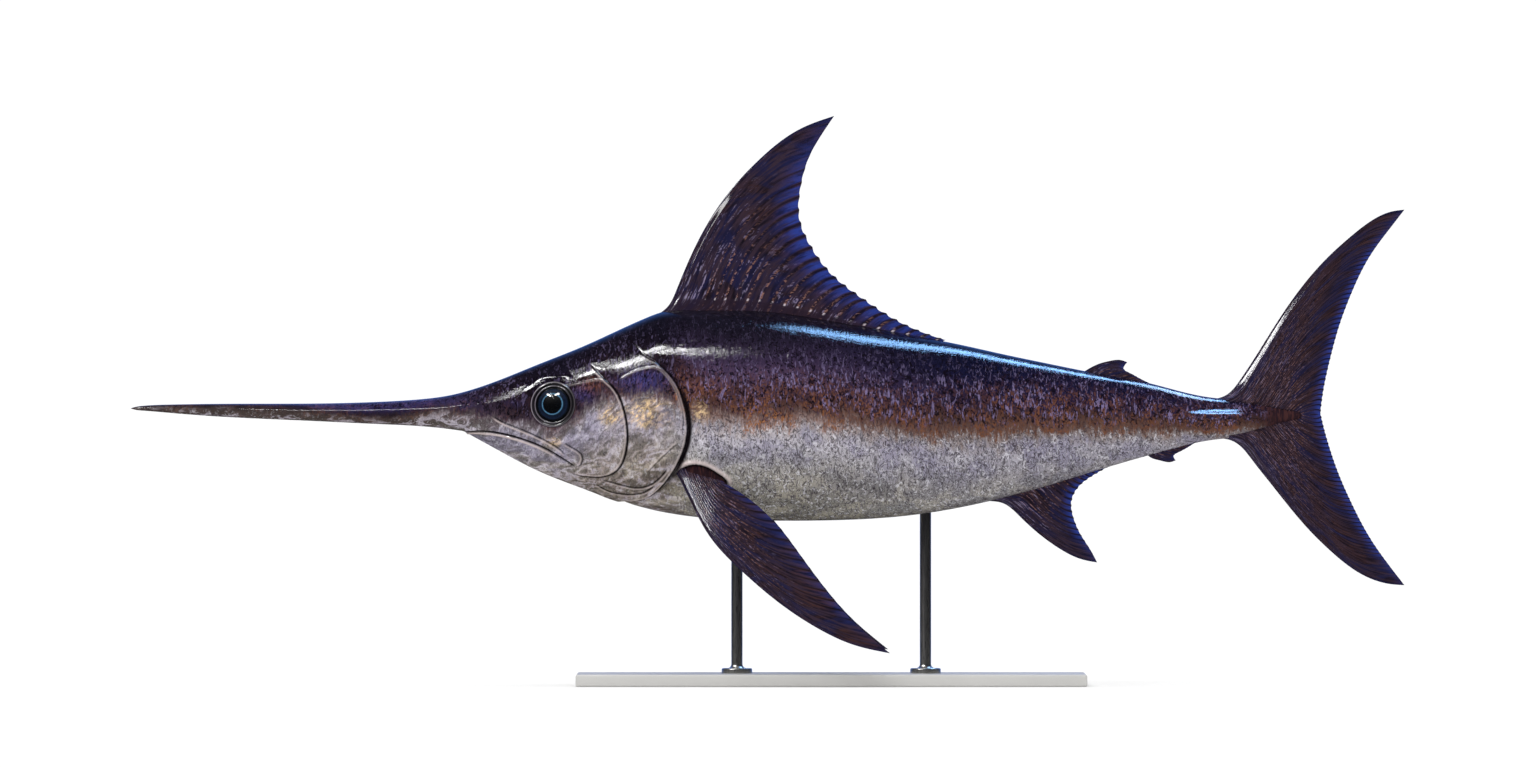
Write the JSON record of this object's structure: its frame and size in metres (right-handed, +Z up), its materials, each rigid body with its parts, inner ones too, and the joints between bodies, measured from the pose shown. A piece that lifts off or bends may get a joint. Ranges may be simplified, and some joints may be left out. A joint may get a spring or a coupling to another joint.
{
  "type": "swordfish on a display stand",
  "caption": "Life-size swordfish with a long flat bill, sickle-shaped fins and keeled tail stalk, held level on slim rods above a flat base.",
  "frame": {"origin": "on the floor, under the middle of the length from bill tip to tail tips, in the middle plane of the fish", "axes": "+X from the bill towards the tail, +Y towards the fish's right side, +Z up"},
  "size_m": [2.4994, 0.6082, 1.118],
  "materials": {
    "back_skin": "wet glossy fish skin, dark brown-purple back over a silver belly",
    "bill_skin": "wet skin over bone, dark above and grey-brown below",
    "cheek_skin": "wet silver skin with gold and violet patches",
    "jaw_skin": "wet pale silver skin",
    "fin_skin": "wet dark skin over close fin rays",
    "eye": "clear wet eye, blue-black",
    "stand_base": "pale grey lacquer on board",
    "stand_steel": "satin round bar"
  },
  "bodies": {
    "root": {"bill": "bill_skin", "head": "cheek_skin", "lower_jaw": "jaw_skin", "gill_cover_left": "cheek_skin", "gill_cover_right": "cheek_skin", "eye_left": "eye", "eye_right": "eye", "body_front": "back_skin", "body_rear": "back_skin", "tail_stalk": "back_skin", "first_dorsal_fin": "fin_skin", "second_dorsal_fin": "fin_skin", "first_anal_fin": "fin_skin", "second_anal_fin": "fin_skin", "pectoral_fin_left": "fin_skin", "pectoral_fin_right": "fin_skin", "tail_fin_upper": "fin_skin", "tail_fin_lower": "fin_skin", "stand_base": "stand_base", "stand_rod_front": "stand_steel", "stand_rod_rear": "stand_steel"}
  },
  "joints": []
}
